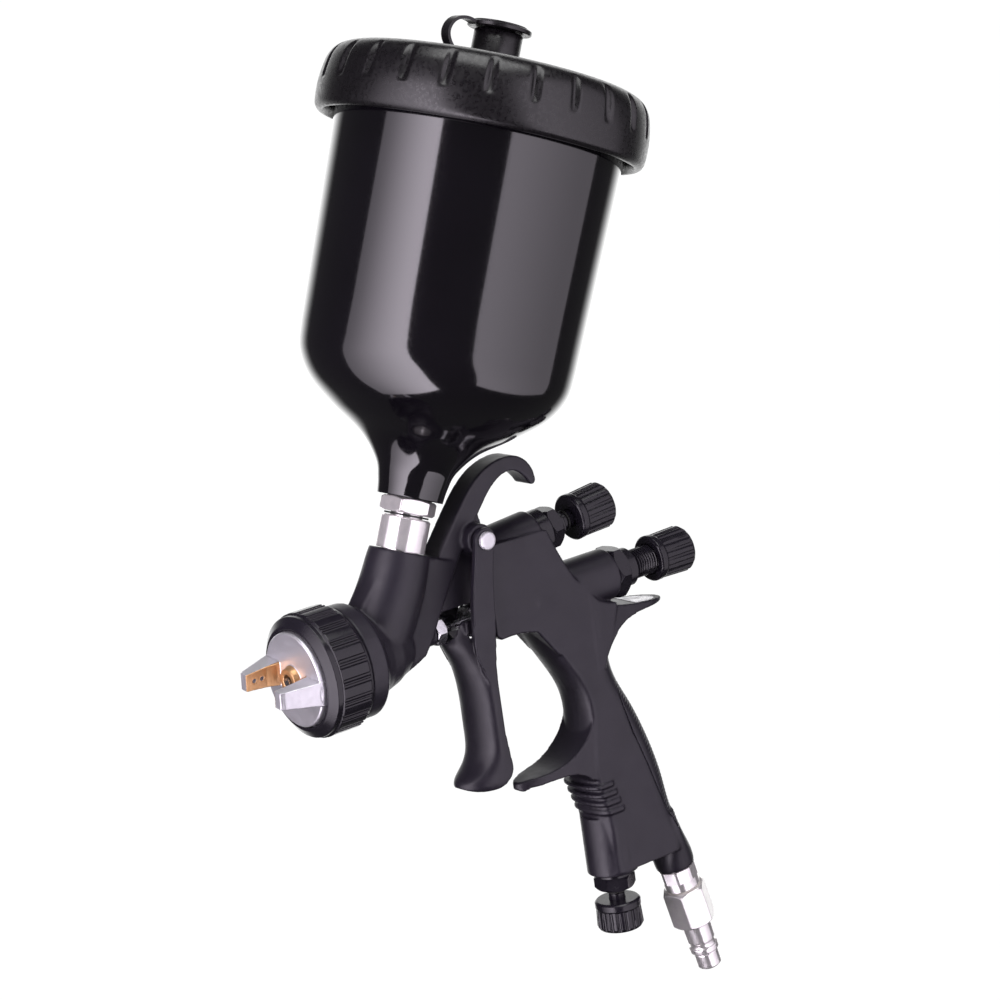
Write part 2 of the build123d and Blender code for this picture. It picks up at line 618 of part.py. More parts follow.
def make_trigger():
    pocket = make_face(Wire([
        Line((66.2, 8), (66.2, -4)),
        Spline((66.2, -4), (67.4, -10), (69.4, -22), (69.4, -40)),
        Spline((69.4, -40), (69.8, -48), (71.8, -53.0)),
        Line((71.8, -53.0), (84, -53.0)),
        Line((84, -53.0), (84, 8)),
        Line((84, 8), (66.2, 8)),
    ]))
    slot = Pos(64, 0, 0) * Rot(0, 90, 0) * Cylinder(4.6, 14) + Pos(64, 0, 4) * Box(14, 9.2, 8)
    arm_side = make_face(Wire([
        Spline((66.2, -9.8), (66.4, 2.5), (67.8, 12), (70.2, 22), (71.7, 29.0)),
        ThreePointArc((71.7, 29.0), (76.0, 33.3), (80.3, 29.0)),
        Spline((80.3, 29.0), (78.2, 22), (76.6, 12), (75.4, 0), (74.2, -14)),
        Line((74.2, -14), (74.1, -24)),
        Line((74.1, -24), (70.8, -22)),
        Line((70.8, -22), (66.2, -9.8)),
    ]))
    arms = side_slab(arm_side, ARM_OUTER) - side_slab(arm_side, ARM_INNER)
    taper = extrude(Plane.YZ * polygon((-ARM_OUTER, 40), (-ARM_OUTER, 1), (-FINGER_HALF, -22), (-6, -30),
                                       (6, -30), (FINGER_HALF, -22), (ARM_OUTER, 1), (ARM_OUTER, 40)), 100)
    arms &= taper
    stem_room = Pos(76, 0, -1) * Box(19.6, 2 * 7.6, 18)
    body_room = Pos(77.2, 0, -0.8) * Box(17.8, 2 * ARM_INNER, 17.6)
    pad = Pos(68.5, 0, 0) * Rot(90, 0, 0) * Cylinder(PAD_RADIUS, 2 * 5.6)
    pad += Pos(67.0, 0, 0) * Box(3.0, 2 * 7.8, 2 * PAD_RADIUS)
    pivot_hole = Pos(PIVOT[0], 0, PIVOT[1]) * Rot(90, 0, 0) * Cylinder(PIN_RADIUS + FIT, 4 * BODY_HALF)
    shell = trigger_blank() - side_slab(pocket, 7.6) - stem_room - body_room
    return shell + arms + pad - slot - pivot_hole


def make_pivot_pin():
    """Shouldered pin through the trigger and the body, with its domed head on the near side."""
    head = turned([(ARM_OUTER + 0.2, 3.15), (ARM_OUTER + 1.2, 3.15), (ARM_OUTER + 1.6, 2.8),
                   (ARM_OUTER + 1.8, 2.2)])
    shank = rod(PIN_RADIUS, -8.0, ARM_OUTER + 0.3)
    tapped = rod(1.5, -9.0, 2.0)
    return Pos(PIVOT[0], 0, PIVOT[1]) * Rot(90, 0, 0) * (head + shank - tapped)


def make_pivot_screw():
    head = turned([(ARM_OUTER + 0.2, 3.15), (ARM_OUTER + 1.2, 3.15), (ARM_OUTER + 1.6, 2.8),
                   (ARM_OUTER + 1.8, 2.2)])
    shank = rod(PIN_RADIUS, 8.1, ARM_OUTER + 0.3)
    thread = rod(1.5 - FIT, -1.0, 8.2)
    slot = Pos(0, 0, ARM_OUTER + 2) * Box(8, 0.8, 1.6)
    return Pos(PIVOT[0], 0, PIVOT[1]) * Rot(-90, 0, 0) * (head + shank + thread - slot)


# ---- paint cup ----
def make_cup_collar():
    collar = turned([(-17, 6.5), (-7.4, 6.5), (-7.3, 8.5), (3.4, 8.5), (3.9, 8.0), (4.0, 5.6), (9.0, 5.6)])
    return CUP_AXIS * (collar - rod(4.6, -18, 10))


def make_cup_seal():
    return CUP_AXIS * tube(7.6, 6.1, 4.3, 4.9)


def make_cup_nut():
    nut = Rot(0, 0, 9) * hex_nut(17, 5.2, 10.3, 0.8)
    shank = rod(7.6, 10.2, 19.0)
    bore = rod(5.6 + RUN, 4, 10.0) + rod(4.6, 9.5, 20)
    seal_room = rod(8.0, 4, 5.2)
    return CUP_AXIS * (nut + shank - bore - seal_room)


def make_cup():
    outer = make_face(Wire([
        Line((7.7, 10.5), (11.3, 10.5)),
        Spline((11.3, 10.5), (12.0, 15.5), (13.9, 21.5), (20.4, 29.3), (31.4, 36.6),
               (40.8, 44.3), (46.0, 53), (47.2, 62)),
        Line((47.2, 62), (CUP_RADIUS, CUP_HEIGHT)),
        Line((CUP_RADIUS, CUP_HEIGHT), (CUP_RADIUS - CUP_WALL, CUP_HEIGHT)),
        Line((CUP_RADIUS - CUP_WALL, CUP_HEIGHT), (45.2, 62)),
        Spline((45.2, 62), (44.1, 54), (39.2, 46.0), (30.0, 38.8), (19.2, 31.6), (11.6, 24.2), (7.7, 19.3)),
        Line((7.7, 19.3), (7.7, 10.5)),
    ]))
    return CUP_AXIS * revolve(Plane.XZ * outer, Axis.Z)


def make_lid():
    outside = turned([(LID_BOTTOM + 1.2, 53.0), (LID_BOTTOM, 53.8), (LID_BOTTOM + 0.4, 55.2),
                      (LID_BOTTOM + 2.4, LID_RADIUS), (LID_BOTTOM + 8, LID_RADIUS + 0.3),
                      (LID_TOP - 11, LID_RADIUS - 0.2), (LID_TOP - 6, LID_RADIUS - 1.4),
                      (LID_TOP - 2.6, LID_RADIUS - 3.8), (LID_TOP - 0.8, LID_RADIUS - 7.4),
                      (LID_TOP, LID_RADIUS - 12), (LID_TOP, 10.0), (LID_TOP + 0.6, SPOUT_RADIUS),
                      (SPOUT_TOP, SPOUT_RADIUS)])
    inside = turned([(LID_BOTTOM - 1, 53.0), (LID_BOTTOM + 3, 52.4), (LID_TOP - 5, 51.4),
                     (LID_TOP - 3, 49.0), (LID_TOP - 2.9, SPOUT_BORE), (SPOUT_TOP + 1, SPOUT_BORE)])
    flute_length = 17.6
    flute = turned([(0, 0.4), (12.2, 1.9), (15, 1.7), (flute_length, 0.4)])
    flute = Pos(LID_RADIUS + 0.6, 0, LID_TOP - 4.4 - flute_length) * Rot(0, -3, 0) * flute
    return CUP_AXIS * (outside - inside - PolarLocations(0, LID_FLUTES, start_angle=FLUTE_PHASE) * flute)


def make_lid_gasket():
    return CUP_AXIS * tube(48.9, 46.8, CUP_HEIGHT + 0.4, LID_TOP - 3.4)


def make_vent_cap():
    cap = turned([(SPOUT_TOP + 0.3, 10.6), (SPOUT_TOP + 0.6, 11.0), (SPOUT_TOP + 1.7, 11.0),
                  (SPOUT_TOP + 2.1, 10.4), (SPOUT_TOP + 2.2, 9.2)])
    rim = tube(9.2, 6.9, SPOUT_TOP + 2.1, SPOUT_TOP + 2.7)
    plug = turned([(SPOUT_TOP - 6, 4.6), (SPOUT_TOP - 5, SPOUT_BORE - 0.25),
                   (SPOUT_TOP + 0.4, SPOUT_BORE - 0.25)])
    hollow = rod(3.6, SPOUT_TOP - 7, SPOUT_TOP + 1.0)
    return CUP_AXIS * (cap + rim + plug - hollow)


def make_vent_strap():
    """Flat tether that loops from a ring on the lid's top up to the vent cap's flange."""
    half_width = 2.0
    half_thickness = 0.55
    loop = Spline((11.4, SPOUT_TOP + 0.8), (15.4, SPOUT_TOP + 1.4), (19.8, SPOUT_TOP - 0.4),
                  (21.6, SPOUT_TOP - 4.6), (19.2, SPOUT_TOP - 9.0), (12.6, LID_TOP + 1.2))
    strip = Plane.YZ * trace(loop, 2 * half_thickness)
    strap = extrude(strip, amount=half_width, both=True)
    ring = tube(13.4, SPOUT_RADIUS + RUN, LID_TOP + 0.65, LID_TOP + 1.75)
    return CUP_AXIS * (strap + ring)


# ---- write one STEP per sub-part ----
PIECES = {
    "gun_body": make_casting,
    "back_grip": make_back_grip,
    "tail_plate": make_tail_plate,
    "fluid_nozzle": make_fluid_nozzle,
    "air_baffle": make_air_baffle,
    "air_cap": make_air_cap,
    "cap_retaining_clip": make_cap_clip,
    "air_cap_ring": make_cap_ring,
    "needle": make_needle,
    "needle_collar": make_needle_collar,
    "needle_packing": make_needle_packing,
    "packing_nut": make_packing_nut,
    "air_valve_guide": make_valve_guide,
    "air_valve_stem": make_valve_stem,
    "air_valve_spring": make_valve_spring,
    "needle_spring": make_needle_spring,
    "fluid_guide": make_fluid_guide,
    "fluid_knob": make_fluid_knob,
    "fluid_knob_ring": make_fluid_knob_ring,
    "fan_sleeve": make_fan_sleeve,
    "fan_spindle": make_fan_spindle,
    "fan_seal": make_fan_seal,
    "fan_knob": make_fan_knob,
    "air_sleeve": make_air_sleeve,
    "air_spindle": make_air_spindle,
    "air_seal": make_air_seal,
    "air_knob": make_air_knob,
    "inlet_adapter": make_inlet_adapter,
    "inlet_washer": make_inlet_washer,
    "inlet_plug": make_inlet_plug,
    "trigger": make_trigger,
    "trigger_pivot_pin": make_pivot_pin,
    "trigger_pivot_screw": make_pivot_screw,
    "cup_collar": make_cup_collar,
    "cup_seal": make_cup_seal,
    "cup_nut": make_cup_nut,
    "paint_cup": make_cup,
    "cup_lid": make_lid,
    "lid_gasket": make_lid_gasket,
    "vent_cap": make_vent_cap,
    "vent_strap": make_vent_strap,
}


def main():
    os.makedirs("parts", exist_ok=True)
    to_origin = Pos(-ORIGIN_X, 0, -ORIGIN_Z)
    for name, make in PIECES.items():
        piece = to_origin * make()
        piece.label = name
        export_step(piece, f"parts/{name}.step")
        print(name, len(piece.solids()), round(piece.volume, 1))


main()
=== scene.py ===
"""Looks of the gravity-feed spray gun: materials, softened castings, lights and camera.

Positions are in metres in the part's own frame. GUN is the centre of the air cap's
front in that frame: the spray axis runs through it along X. Outlines of turned pieces
are (height above the cup's seat, radius) points in millimetres.
"""
import json
import math

import bmesh
import bpy
from mathutils import Matrix, Vector


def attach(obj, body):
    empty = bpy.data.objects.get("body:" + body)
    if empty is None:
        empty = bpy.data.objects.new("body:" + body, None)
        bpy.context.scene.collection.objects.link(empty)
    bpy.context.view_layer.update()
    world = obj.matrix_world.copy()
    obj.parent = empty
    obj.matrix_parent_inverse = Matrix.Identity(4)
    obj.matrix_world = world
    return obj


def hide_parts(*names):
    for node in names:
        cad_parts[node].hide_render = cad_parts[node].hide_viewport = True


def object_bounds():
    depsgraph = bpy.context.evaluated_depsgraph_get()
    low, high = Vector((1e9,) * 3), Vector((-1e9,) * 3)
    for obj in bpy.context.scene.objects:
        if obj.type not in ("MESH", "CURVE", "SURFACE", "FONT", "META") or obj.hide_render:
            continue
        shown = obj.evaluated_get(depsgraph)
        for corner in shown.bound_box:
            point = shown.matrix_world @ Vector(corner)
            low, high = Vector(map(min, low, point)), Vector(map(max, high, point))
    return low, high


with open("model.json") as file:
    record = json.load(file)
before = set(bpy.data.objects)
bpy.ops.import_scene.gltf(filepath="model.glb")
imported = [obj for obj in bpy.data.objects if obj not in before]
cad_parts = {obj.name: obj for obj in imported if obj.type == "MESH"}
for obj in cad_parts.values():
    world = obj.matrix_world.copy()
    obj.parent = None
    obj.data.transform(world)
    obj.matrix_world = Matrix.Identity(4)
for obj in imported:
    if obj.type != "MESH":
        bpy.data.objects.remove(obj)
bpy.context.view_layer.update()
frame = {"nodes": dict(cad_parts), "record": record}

MM = 0.001
GUN = Vector((-0.155745, 0.0, 0.152519))
CUP_SEAT = GUN + Vector((51.5, 0.0, 38.3)) * MM
CUP_LEAN = math.radians(23.6)
CUP_UP = Vector((math.sin(CUP_LEAN), 0.0, math.cos(CUP_LEAN)))


# ---------------------------------------------------------------- node tools
NOISE_MIDDLE = (0.35, 0.65)


class Shader:
    """Short way to build a material's node tree."""

    def __init__(self, name):
        self.material = bpy.data.materials.new(name)
        self.material.use_nodes = True
        self.tree = self.material.node_tree
        self.tree.nodes.clear()
        self.out = self.add("ShaderNodeOutputMaterial")
        self.bsdf = self.add("ShaderNodeBsdfPrincipled")
        self.link(self.bsdf.outputs[0], self.out.inputs["Surface"])

    def add(self, kind, **settings):
        node = self.tree.nodes.new(kind)
        for key, value in settings.items():
            setattr(node, key, value)
        return node

    def link(self, source, target):
        self.tree.links.new(source, target)

    def set(self, **values):
        for key, value in values.items():
            socket = self.bsdf.inputs[key.replace("_", " ")]
            socket.default_value = value

    def colour(self, source):
        self.link(source, self.bsdf.inputs["Base Color"])

    def roughness(self, source):
        self.link(source, self.bsdf.inputs["Roughness"])

    def combine(self, operation, first, second=None):
        """Result of a math node on one or two values, each a socket or a number."""
        node = self.add("ShaderNodeMath", operation=operation)
        for socket, value in zip(node.inputs, (first, second)):
            if isinstance(value, (int, float)):
                socket.default_value = value
            elif value is not None:
                self.link(value, socket)
        return node.outputs[0]

    def noise(self, size, detail=4.0, rough=0.55):
        """Noise whose grains are about size metres across, from 0 to 1."""
        node = self.add("ShaderNodeTexNoise")
        node.inputs["Scale"].default_value = 1.0 / size
        node.inputs["Detail"].default_value = detail
        node.inputs["Roughness"].default_value = rough
        self.link(self.add("ShaderNodeTexCoord").outputs["Object"], node.inputs["Vector"])
        return node.outputs["Fac"]

    def spread(self, value, low, high):
        """Map the middle of a noise's range onto low..high."""
        node = self.add("ShaderNodeMapRange")
        node.inputs["From Min"].default_value = NOISE_MIDDLE[0]
        node.inputs["From Max"].default_value = NOISE_MIDDLE[1]
        node.inputs["To Min"].default_value = low
        node.inputs["To Max"].default_value = high
        self.link(value, node.inputs["Value"])
        return node.outputs[0]

    def mix(self, factor, first, second):
        node = self.add("ShaderNodeMix", data_type="RGBA")
        self.link(factor, node.inputs["Factor"])
        node.inputs["A"].default_value = (*first, 1.0)
        node.inputs["B"].default_value = (*second, 1.0)
        return node.outputs["Result"]

    def bump(self, height, distance, strength):
        node = self.add("ShaderNodeBump")
        node.inputs["Strength"].default_value = strength
        node.inputs["Distance"].default_value = distance
        self.link(height, node.inputs["Height"])
        self.link(node.outputs[0], self.bsdf.inputs["Normal"])


# ---------------------------------------------------------------- materials
def coated_black(name, colour, colour_2, rough, grain, depth):
    """Coating with a fine grain and slightly uneven gloss."""
    s = Shader(name)
    s.colour(s.mix(s.spread(s.noise(0.02), 0, 1), colour, colour_2))
    s.roughness(s.spread(s.noise(0.006, 6), rough - 0.05, rough + 0.06))
    s.set(Specular_IOR_Level=0.38)
    s.bump(s.noise(grain, 3), depth, 0.5)
    return s.material


def gloss_plastic(name, colour, rough, coat):
    """Smooth moulded plastic, with a clear coat where coat is above zero."""
    s = Shader(name)
    paler = tuple(c * 1.25 for c in colour)
    s.colour(s.mix(s.spread(s.noise(0.03), 0, 1), colour, paler))
    s.roughness(s.spread(s.noise(0.0012, 6), rough * 0.8, rough * 1.3))
    s.set(Specular_IOR_Level=0.5, Coat_Weight=coat, Coat_Roughness=rough * 0.6)
    s.bump(s.noise(0.03, 2), 0.00003, 0.12)
    return s.material


def metal(name, colour, colour_2, rough, grain, metallic=1.0):
    """Machined or plated metal with fine tool marks."""
    s = Shader(name)
    s.colour(s.mix(s.spread(s.noise(0.004), 0, 1), colour, colour_2))
    s.roughness(s.spread(s.noise(grain, 4, 0.6), rough * 0.75, rough * 1.35))
    s.set(Metallic=metallic)
    s.bump(s.noise(grain, 3, 0.5), 0.000004, 0.6)
    return s.material


CAP_NICKEL = (0.74, 0.73, 0.77)
CAP_BRASS = (0.62, 0.36, 0.17)
CAP_TURN = math.radians(9.5)    # how far the cap's horns are turned about the spray axis
CAP_HORN_INSIDE = 8.45 * MM     # the horns' inner faces are this far from the cap's middle plane
CAP_FACE = -1.15 * MM           # the horns and the boss stand in front of this X


def air_cap_metal():
    """Nickel outside, bare brass on the horns' inner faces and on the middle boss."""
    s = Shader("air_cap_metal")
    place = s.add("ShaderNodeMapping")
    place.inputs["Location"].default_value = tuple(-GUN)
    s.link(s.add("ShaderNodeTexCoord").outputs["Object"], place.inputs["Vector"])
    turn = s.add("ShaderNodeVectorRotate", rotation_type="X_AXIS")
    turn.inputs["Angle"].default_value = -CAP_TURN
    s.link(place.outputs[0], turn.inputs["Vector"])
    axes = s.add("ShaderNodeSeparateXYZ")
    s.link(turn.outputs[0], axes.inputs[0])
    inner = s.combine("LESS_THAN", s.combine("ABSOLUTE", axes.outputs["Y"]), CAP_HORN_INSIDE)
    raised = s.combine("LESS_THAN", axes.outputs["X"], CAP_FACE)
    s.colour(s.mix(s.combine("MULTIPLY", inner, raised), CAP_NICKEL, CAP_BRASS))
    s.roughness(s.spread(s.noise(0.0012, 4), 0.30, 0.42))
    s.set(Metallic=0.75)
    s.bump(s.noise(0.0006, 3), 0.00001, 0.5)
    return s.material


CASTING = coated_black("satin_coating", (0.0160, 0.0135, 0.0205), (0.0200, 0.0170, 0.0255),
                       rough=0.40, grain=0.0007, depth=0.00002)
KNOB = coated_black("black_anodised", (0.0105, 0.0090, 0.0135), (0.0140, 0.0120, 0.0180),
                    rough=0.22, grain=0.0005, depth=0.00001)
CUP = gloss_plastic("cup_gloss", (0.0040, 0.0033, 0.0050), rough=0.10, coat=0.5)
LID = gloss_plastic("lid_gloss", (0.0050, 0.0042, 0.0054), rough=0.30, coat=0.0)
STRAP = gloss_plastic("strap_rubber", (0.010, 0.009, 0.011), rough=0.34, coat=0.0)
CHROME = metal("polished_plate", (0.95, 0.92, 0.91), (0.80, 0.78, 0.78),
               rough=0.15, grain=0.004, metallic=0.62)
STEEL = metal("turned_steel", (0.66, 0.66, 0.68), (0.58, 0.58, 0.60), rough=0.24, grain=0.002)
BRASS = metal("turned_brass", (0.62, 0.40, 0.20), (0.52, 0.33, 0.17), rough=0.26, grain=0.002)
PLATE = metal("satin_plate", (0.80, 0.79, 0.82), (0.72, 0.71, 0.74),
              rough=0.36, grain=0.003, metallic=0.5)
NICKEL = air_cap_metal()
SEAL = coated_black("seal_rubber", (0.010, 0.010, 0.010), (0.014, 0.014, 0.014),
                    rough=0.55, grain=0.0006, depth=0.00002)
WASHER = coated_black("washer_plastic", (0.60, 0.58, 0.52), (0.52, 0.50, 0.45),
                      rough=0.45, grain=0.0006, depth=0.00001)

LOOKS = {
    CASTING: ["gun_body", "trigger", "back_grip"],
    KNOB: ["air_cap_ring", "fluid_knob", "fan_knob", "air_knob", "fluid_guide", "fan_sleeve",
           "fan_spindle", "air_spindle", "air_sleeve"],
    CUP: ["paint_cup"],
    LID: ["cup_lid", "vent_cap"],
    STRAP: ["vent_strap"],
    CHROME: ["inlet_adapter", "inlet_plug", "cup_collar", "cup_nut"],
    STEEL: ["fluid_nozzle", "cap_retaining_clip", "needle", "packing_nut", "air_valve_stem",
            "air_valve_spring", "needle_spring"],
    BRASS: ["air_baffle", "needle_collar", "air_valve_guide"],
    PLATE: ["tail_plate", "trigger_pivot_pin", "trigger_pivot_screw"],
    NICKEL: ["air_cap"],
    SEAL: ["fluid_knob_ring", "fan_seal", "air_seal", "cup_seal", "needle_packing"],
    WASHER: ["lid_gasket", "inlet_washer"],
}
LOOK_OF = {node: material for material, nodes in LOOKS.items() for node in nodes}
BODY_OF = {node: body for body, nodes in frame["record"]["behaviour"]["bodies"].items() for node in nodes}


def dress_cad_nodes():
    for node, material in LOOK_OF.items():
        mesh = frame["nodes"][node].data
        mesh.materials.clear()
        mesh.materials.append(material)
        for face in mesh.polygons:
            face.material_index = 0


# ---------------------------------------------------------------- softened pieces
WELD_GAP = 0.002 * MM

# Edge rounding of each softened node: remesh cell in millimetres, and smoothing rounds.
ROUNDING = {
    "gun_body": (0.48, 3),
    "trigger": (0.42, 4),
    "back_grip": (0.28, 3),
    "air_cap": (0.22, 3),
    "air_cap_ring": (0.26, 2),
    "fluid_knob": (0.20, 2),
    "fan_knob": (0.20, 2),
    "air_knob": (0.20, 2),
    "inlet_plug": (0.18, 2),
    "cup_nut": (0.18, 2),
}

NECK_ROOT = GUN + Vector((35.0, 0.0, 14.0)) * MM
NECK_REACH = 19 * MM
NECK_ROUNDS = 40

TOOTH_PITCH = 1.5 * MM
TOOTH_DEPTH = 0.35 * MM
TOOTH_RUN = Vector((0.25, 0.0, -0.968))    # along the back of the handle, downwards
TOOTH_FACING = 0.25                        # normals that point back less than this get no teeth


def finish_piece(piece, node, material):
    """Give a new piece its material and its place in the moving model."""
    piece.data.materials.clear()
    piece.data.materials.append(material)
    for face in piece.data.polygons:
        face.use_smooth = True
    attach(piece, BODY_OF[node])
    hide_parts(node)
    return piece


def keep_modified_shape(piece):
    """Make the shape that the modifiers give the piece's own mesh."""
    evaluated = piece.evaluated_get(bpy.context.evaluated_depsgraph_get())
    shaped = bpy.data.meshes.new_from_object(evaluated)
    piece.modifiers.clear()
    piece.data = shaped


def softened(node, cell, rounds):
    """Copy of a CAD node whose edges are rounded, as a casting's or a moulding's are."""
    piece = bpy.data.objects.new("look_" + node, frame["nodes"][node].data.copy())
    bpy.context.scene.collection.objects.link(piece)
    weld = piece.modifiers.new("weld", "WELD")
    weld.merge_threshold = WELD_GAP
    remesh = piece.modifiers.new("remesh", "REMESH")
    remesh.mode = "VOXEL"
    remesh.voxel_size = cell * MM
    remesh.use_smooth_shade = True
    smooth = piece.modifiers.new("smooth", "SMOOTH")
    smooth.factor = 0.5
    smooth.iterations = rounds
    keep_modified_shape(piece)
    return finish_piece(piece, node, LOOK_OF[node])


def fillet(piece, centre, reach, rounds):
    """Smooth a piece further around one place, as a cast fillet is."""
    group = piece.vertex_groups.new(name="fillet")
    for point in piece.data.vertices:
        near = 1.0 - (point.co - centre).length / reach
        if near > 0:
            group.add([point.index], min(1.0, 2.0 * near), "REPLACE")
    smooth = piece.modifiers.new("smooth", "SMOOTH")
    smooth.iterations = rounds
    smooth.vertex_group = group.name
    keep_modified_shape(piece)
    piece.vertex_groups.clear()


def serrate(piece):
    """Fine teeth pressed into the back edge of the grip, across the handle."""
    vertices = piece.data.vertices
    moves = []
    for point in vertices:
        facing = max(0.0, point.normal.x - TOOTH_FACING) / (1.0 - TOOTH_FACING)
        wave = 0.5 + 0.5 * math.cos(2 * math.pi * point.co.dot(TOOTH_RUN) / TOOTH_PITCH)
        moves.append(point.normal * (-TOOTH_DEPTH * min(1.0, 1.6 * facing) * wave))
    for point, move in zip(vertices, moves):
        point.co += move


# ---------------------------------------------------------------- turned pieces
CUP_SEGMENTS = 192
CUP_FLARE_STEP = 9.0        # the cup's side widens evenly above its shoulder
CUP_FLARE = 0.28

LID_FLUTES = 24
LID_SEGMENTS = LID_FLUTES * 20
LID_TOP = 157.5
FLUTE_PHASE = math.radians(9.2)
FLUTE_DEPTH = 1.5
FLUTE_MIDDLE = LID_TOP - 8.6
FLUTE_HALF_HEIGHT = 6.4
FLUTE_HALF_WIDTH = 1.75
FLUTE_INNER_RADIUS = 44


def smooth_points(points, steps=6):
    """Points on a Catmull-Rom curve through the given ones."""
    ends = [points[0]] + list(points) + [points[-1]]
    curve = []
    for i in range(1, len(ends) - 2):
        p0, p1, p2, p3 = (Vector(q) for q in ends[i - 1:i + 3])
        for k in range(steps):
            t = k / steps
            curve.append(tuple(0.5 * (2 * p1 + (p2 - p0) * t + (2 * p0 - 5 * p1 + 4 * p2 - p3) * t * t
                                      + (3 * p1 - p0 - 3 * p2 + p3) * t * t * t)))
    return curve + [tuple(points[-1])]


def flip_outward(mesh):
    shape = bmesh.new()
    shape.from_mesh(mesh)
    bmesh.ops.recalc_face_normals(shape, faces=shape.faces)
    shape.to_mesh(mesh)
    shape.free()


def turned(name, outline, segments, dent=None):
    """Closed mesh of revolution about the cup's axis.

    dent(height, angle, radius) gives how far the surface is pushed in at a point.
    """
    side = Vector((0, 1, 0))
    ahead = side.cross(CUP_UP).normalized()
    points = []
    for height, radius in outline:
        for k in range(segments):
            angle = 2 * math.pi * k / segments
            r = radius - (dent(height, angle, radius) if dent else 0.0)
            way = ahead * math.cos(angle) + side * math.sin(angle)
            points.append(tuple(CUP_SEAT + (CUP_UP * height + way * r) * MM))
    rows = len(outline)
    faces = []
    for i in range(rows):
        j = (i + 1) % rows
        for k in range(segments):
            n = (k + 1) % segments
            faces.append((i * segments + k, j * segments + k, j * segments + n, i * segments + n))
    mesh = bpy.data.meshes.new(name)
    mesh.from_pydata(points, [], faces)
    mesh.validate()
    flip_outward(mesh)
    piece = bpy.data.objects.new(name, mesh)
    bpy.context.scene.collection.objects.link(piece)
    return piece


def make_cup():
    outer = smooth_points([(10.5, 11.3), (15.5, 12.0), (21.5, 13.9), (29.3, 20.4), (36.6, 31.4),
                           (44.3, 40.8), (53, 46.0), (62, 47.2)])
    shoulder, shoulder_radius = outer[-1]
    outer += [(shoulder + CUP_FLARE_STEP * k, shoulder_radius + CUP_FLARE * k) for k in range(1, 10)]
    rim = [(151.6, 50.0), (152.0, 49.6), (152.0, 48.4), (151.6, 48.0)]
    inner = smooth_points([(62, 45.2), (54, 44.1), (46.0, 39.2), (38.8, 30.0), (31.6, 19.2),
                           (24.2, 11.6), (19.3, 7.7), (10.5, 7.7)])
    cup = turned("look_paint_cup", outer + rim + inner, CUP_SEGMENTS)
    finish_piece(cup, "paint_cup", CUP)


def lid_dent(height, angle, radius):
    """Depth of the finger flutes on the lid's shoulder."""
    if radius < FLUTE_INNER_RADIUS:
        return 0.0
    step = 2 * math.pi / LID_FLUTES
    offset = (angle - FLUTE_PHASE + step / 2) % step - step / 2
    along = (height - FLUTE_MIDDLE) / FLUTE_HALF_HEIGHT
    across = offset * radius / FLUTE_HALF_WIDTH
    if abs(along) >= 1 or abs(across) >= 1:
        return 0.0
    return FLUTE_DEPTH * (1 - along ** 2) ** 0.7 * (1 - across ** 2) ** 1.2


def make_lid():
    shoulder = smooth_points([(133.6, 53.2), (133.0, 53.9), (133.4, 55.3), (135.4, 56.5), (141.0, 56.8),
                              (146.5, 56.3), (151.5, 55.1), (154.9, 52.7), (156.7, 49.1), (LID_TOP, 44.5)], 8)
    spout = [(LID_TOP, 30), (LID_TOP, 12.0), (157.6, 9.6), (158.2, 8.6), (159.2, 8.35),
             (169.8, 8.35), (170.3, 7.9), (170.3, 6.0), (169.9, 5.6)]
    inside = [(154.6, 5.6), (154.5, 49.0), (152.5, 51.4), (136.0, 52.4)]
    lid = turned("look_cup_lid", shoulder + spout + inside, LID_SEGMENTS, lid_dent)
    finish_piece(lid, "cup_lid", LID)


dress_cad_nodes()
soft = {node: softened(node, cell, rounds) for node, (cell, rounds) in ROUNDING.items()}
fillet(soft["gun_body"], NECK_ROOT, NECK_REACH, NECK_ROUNDS)
serrate(soft["back_grip"])
make_cup()
make_lid()


# ---------------------------------------------------------------- stage, lights, camera
BACKGROUND_GLOW = 1.06      # brightness of the floor and the backdrop to the camera
BACKDROP_GREY = 0.8         # the backdrop behind the floor's edge is a light grey
OBJECT_MIDDLE = GUN + Vector((0.07, 0, 0.05))
CUP_MIDDLE = CUP_SEAT + CUP_UP * 0.10
BOX_TINT = (0.97, 0.89, 1.0)
BOX_RISE = -8               # degrees above the horizon of the side boxes and the back glow

CAMERA_PLACE = GUN + Vector((-585.2, -950.0, 321.6)) * MM
CAMERA_HEADING = math.radians(-35.505)
CAMERA_DROP = math.radians(13.679)
CAMERA_ROLL = math.radians(-8.181)
CAMERA_LENS = 126
CAMERA_SENSOR = 36


def make_floor():
    """Pale floor that looks white to the camera and lights the object only a little."""
    bpy.ops.mesh.primitive_plane_add(size=40, location=(0, 0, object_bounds()[0][2]))
    floor = bpy.context.object
    floor.name = "floor"
    s = Shader("pale_floor")
    s.set(Base_Color=(0.12, 0.12, 0.12, 1), Roughness=0.9, Specular_IOR_Level=0.0)
    glow = s.add("ShaderNodeEmission")
    glow.inputs["Strength"].default_value = BACKGROUND_GLOW
    path = s.add("ShaderNodeLightPath")
    chooser = s.add("ShaderNodeMixShader")
    s.link(s.combine("MULTIPLY", path.outputs["Is Camera Ray"], 0.97), chooser.inputs[0])
    s.link(s.bsdf.outputs[0], chooser.inputs[1])
    s.link(glow.outputs[0], chooser.inputs[2])
    s.link(chooser.outputs[0], s.out.inputs["Surface"])
    floor.data.materials.append(s.material)
    floor.visible_glossy = False


def around(degrees, rise):
    """Direction at an angle from +X, raised by some degrees."""
    a, e = math.radians(degrees), math.radians(rise)
    return (math.cos(a) * math.cos(e), math.sin(a) * math.cos(e), math.sin(e))


